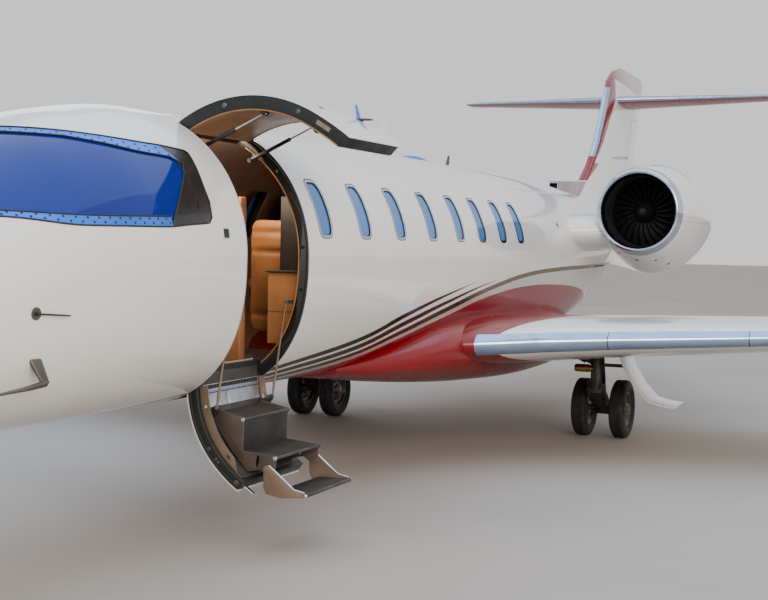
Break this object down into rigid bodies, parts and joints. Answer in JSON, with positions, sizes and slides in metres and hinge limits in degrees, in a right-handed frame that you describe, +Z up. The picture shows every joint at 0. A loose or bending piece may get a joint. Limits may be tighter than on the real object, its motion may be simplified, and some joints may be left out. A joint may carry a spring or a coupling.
{
  "type": "business jet",
  "caption": "Twin-engined business jet with a T-tail and winglets, its two-leaf entry door standing open with a folding airstair.",
  "frame": {"origin": "on the ground under the middle of the overall box", "axes": "+X forward to the nose, +Y to port, +Z up"},
  "size_m": [17.68, 14.5758, 4.3],
  "materials": {
    "white_paint": "gloss",
    "red_paint": "gloss",
    "glass": "gloss",
    "tyre": "matte",
    "wheel_metal": "satin",
    "gear_metal": "satin",
    "engine_metal": "satin",
    "polished_metal": "polished",
    "strut_black": "satin",
    "bronze": "satin",
    "leather": "satin",
    "cabin_trim": "matte"
  },
  "bodies": {
    "root": {"nose_cone": "white_paint", "fuselage_nose": "white_paint", "fuselage_cabin": "white_paint", "fuselage_tail": "white_paint", "belly_fairing": "red_paint", "fin": "white_paint", "stabiliser": "white_paint", "windshield_left": "glass", "windshield_right": "glass", "cabin_windows_left": "glass", "cabin_windows_right": "glass", "wing_left": "white_paint", "wing_right": "white_paint", "nacelle_left": "white_paint", "nacelle_right": "white_paint", "engine_left": "engine_metal", "engine_right": "engine_metal", "ventral_fin_left": "white_paint", "ventral_fin_right": "white_paint", "main_leg_left": "gear_metal", "main_leg_right": "gear_metal", "gear_door_left": "white_paint", "gear_door_right": "white_paint", "nose_gear_door_left": "white_paint", "nose_gear_door_right": "white_paint", "nose_leg": "gear_metal", "cabin_floor": "cabin_trim", "closet": "leather", "instrument_panel": "cabin_trim", "cockpit_seats": "leather", "cabin_seats_left": "leather", "cabin_seats_right": "leather"},
    "upper_door": {"upper_door": "white_paint"},
    "lower_door": {"lower_door": "white_paint"},
    "folding_step": {"folding_step": "bronze"},
    "baggage_door": {"baggage_door": "white_paint"},
    "strut_tube_front": {"strut_tube_front": "strut_black"},
    "strut_tube_aft": {"strut_tube_aft": "strut_black"},
    "strut_rod_front": {"strut_rod_front": "polished_metal"},
    "strut_rod_aft": {"strut_rod_aft": "polished_metal"},
    "door_stay_front": {"door_stay_front": "bronze"},
    "door_stay_aft": {"door_stay_aft": "bronze"},
    "rudder": {"rudder": "white_paint"},
    "flap_left": {"flap_left": "white_paint"},
    "flap_right": {"flap_right": "white_paint"},
    "aileron_left": {"aileron_left": "white_paint"},
    "aileron_right": {"aileron_right": "white_paint"},
    "elevator_left": {"elevator_left": "white_paint"},
    "elevator_right": {"elevator_right": "white_paint"},
    "fan_left": {"fan_left": "engine_metal"},
    "fan_right": {"fan_right": "engine_metal"},
    "main_wheels_left": {"main_wheels_left": "wheel_metal", "main_tyre_left_inner": "tyre", "main_tyre_left_outer": "tyre"},
    "main_wheels_right": {"main_wheels_right": "wheel_metal", "main_tyre_right_inner": "tyre", "main_tyre_right_outer": "tyre"},
    "nose_steering": {"nose_fork": "gear_metal"},
    "nose_wheel": {"nose_wheel": "wheel_metal", "nose_tyre": "tyre"}
  },
  "joints": [
    {"name": "upper_door_hinge", "type": "hinge", "parent": "root", "child": "upper_door", "pos_m": [4.3915, 0.386, 2.411], "axis": [-1, 0, 0], "range_deg": [0, 60.2]},
    {"name": "lower_door_hinge", "type": "hinge", "parent": "root", "child": "lower_door", "pos_m": [4.3915, 0.477, 0.896], "axis": [1, 0, 0], "range_deg": [0, 113.8]},
    {"name": "folding_step_hinge", "type": "hinge", "parent": "lower_door", "child": "folding_step", "pos_m": [4.365, 0.932, 0.478], "axis": [1, 0, 0], "range_deg": [0, 115]},
    {"name": "strut_tube_front_pivot", "type": "hinge", "parent": "root", "child": "strut_tube_front", "pos_m": [4.722, 0.465, 2.247], "axis": [-1, 0, 0], "range_deg": [0, 76]},
    {"name": "strut_rod_front_slide", "type": "slide", "parent": "strut_tube_front", "child": "strut_rod_front", "axis": [0, -0.9089, -0.4169], "range_m": [0, 0.144]},
    {"name": "strut_tube_aft_pivot", "type": "hinge", "parent": "root", "child": "strut_tube_aft", "pos_m": [4.061, 0.465, 2.247], "axis": [-1, 0, 0], "range_deg": [0, 76]},
    {"name": "strut_rod_aft_slide", "type": "slide", "parent": "strut_tube_aft", "child": "strut_rod_aft", "axis": [0, -0.9089, -0.4169], "range_m": [0, 0.144]},
    {"name": "door_stay_front_pivot", "type": "hinge", "parent": "lower_door", "child": "door_stay_front", "pos_m": [4.714, 0.64, 0.812], "axis": [-1, 0, 0], "range_deg": [0, 133.5]},
    {"name": "door_stay_aft_pivot", "type": "hinge", "parent": "lower_door", "child": "door_stay_aft", "pos_m": [4.057, 0.64, 0.812], "axis": [-1, 0, 0], "range_deg": [0, 133.5]},
    {"name": "baggage_door_hinge", "type": "hinge", "parent": "root", "child": "baggage_door", "pos_m": [-3.46, 0.752, 1.557], "axis": [0.9955, 0.0946, 0], "range_deg": [0, 80]},
    {"name": "rudder_hinge", "type": "hinge", "parent": "root", "child": "rudder", "pos_m": [-7.40344, 0, 2.6], "axis": [-0.4817, 0, 0.8764], "range_deg": [-25, 25]},
    {"name": "flap_left_hinge", "type": "hinge", "parent": "root", "child": "flap_left", "pos_m": [-1.1065, 1.08, 0.97296], "axis": [0.0949, -0.9945, -0.0433], "range_deg": [0, 35]},
    {"name": "flap_right_hinge", "type": "hinge", "parent": "root", "child": "flap_right", "pos_m": [-1.1065, -1.08, 0.97296], "axis": [-0.0949, -0.9945, 0.0433], "range_deg": [0, 35]},
    {"name": "aileron_left_hinge", "type": "hinge", "parent": "root", "child": "aileron_left", "pos_m": [-1.426, 4.44, 1.1194], "axis": [0.0776, -0.996, -0.0437], "range_deg": [-20, 20]},
    {"name": "aileron_right_hinge", "type": "hinge", "parent": "root", "child": "aileron_right", "pos_m": [-1.426, -4.44, 1.1194], "axis": [-0.0776, -0.996, 0.0437], "range_deg": [-20, 20]},
    {"name": "elevator_left_hinge", "type": "hinge", "parent": "root", "child": "elevator_left", "pos_m": [-7.8953, 0.13, 3.8135], "axis": [0.2756, -0.9597, -0.0555], "range_deg": [-20, 15]},
    {"name": "elevator_right_hinge", "type": "hinge", "parent": "root", "child": "elevator_right", "pos_m": [-7.8953, -0.13, 3.8135], "axis": [-0.2756, -0.9597, 0.0555], "range_deg": [-20, 15]},
    {"name": "fan_left_spin", "type": "hinge", "parent": "root", "child": "fan_left", "pos_m": [-2.49, 1.473, 2.137], "axis": [1, 0, 0], "continuous": true},
    {"name": "fan_right_spin", "type": "hinge", "parent": "root", "child": "fan_right", "pos_m": [-2.49, -1.473, 2.137], "axis": [1, 0, 0], "continuous": true},
    {"name": "main_wheels_left_roll", "type": "hinge", "parent": "root", "child": "main_wheels_left", "pos_m": [-0.89, 1.4755, 0.26668], "axis": [0, 1, 0], "continuous": true},
    {"name": "main_wheels_right_roll", "type": "hinge", "parent": "root", "child": "main_wheels_right", "pos_m": [-0.89, -1.4755, 0.26668], "axis": [0, 1, 0], "continuous": true},
    {"name": "nose_steering_swivel", "type": "hinge", "parent": "root", "child": "nose_steering", "pos_m": [7.03, 0, 0.56], "axis": [0, 0, 1], "range_deg": [-60, 60]},
    {"name": "nose_wheel_roll", "type": "hinge", "parent": "nose_steering", "child": "nose_wheel", "pos_m": [6.99, 0, 0.21334], "axis": [0, 1, 0], "continuous": true}
  ],
  "couplings": [
    {"joint": "strut_tube_front_pivot", "follows": "upper_door_hinge", "ratio": 1.2512},
    {"joint": "strut_tube_aft_pivot", "follows": "upper_door_hinge", "ratio": 1.2512},
    {"joint": "strut_rod_front_slide", "follows": "upper_door_hinge", "m_per_rad": 0.13667},
    {"joint": "strut_rod_aft_slide", "follows": "upper_door_hinge", "m_per_rad": 0.13667},
    {"joint": "door_stay_front_pivot", "follows": "lower_door_hinge", "ratio": 1.167},
    {"joint": "door_stay_aft_pivot", "follows": "lower_door_hinge", "ratio": 1.167},
    {"joint": "flap_right_hinge", "follows": "flap_left_hinge", "ratio": 1},
    {"joint": "aileron_right_hinge", "follows": "aileron_left_hinge", "ratio": -1},
    {"joint": "elevator_right_hinge", "follows": "elevator_left_hinge", "ratio": 1}
  ]
}
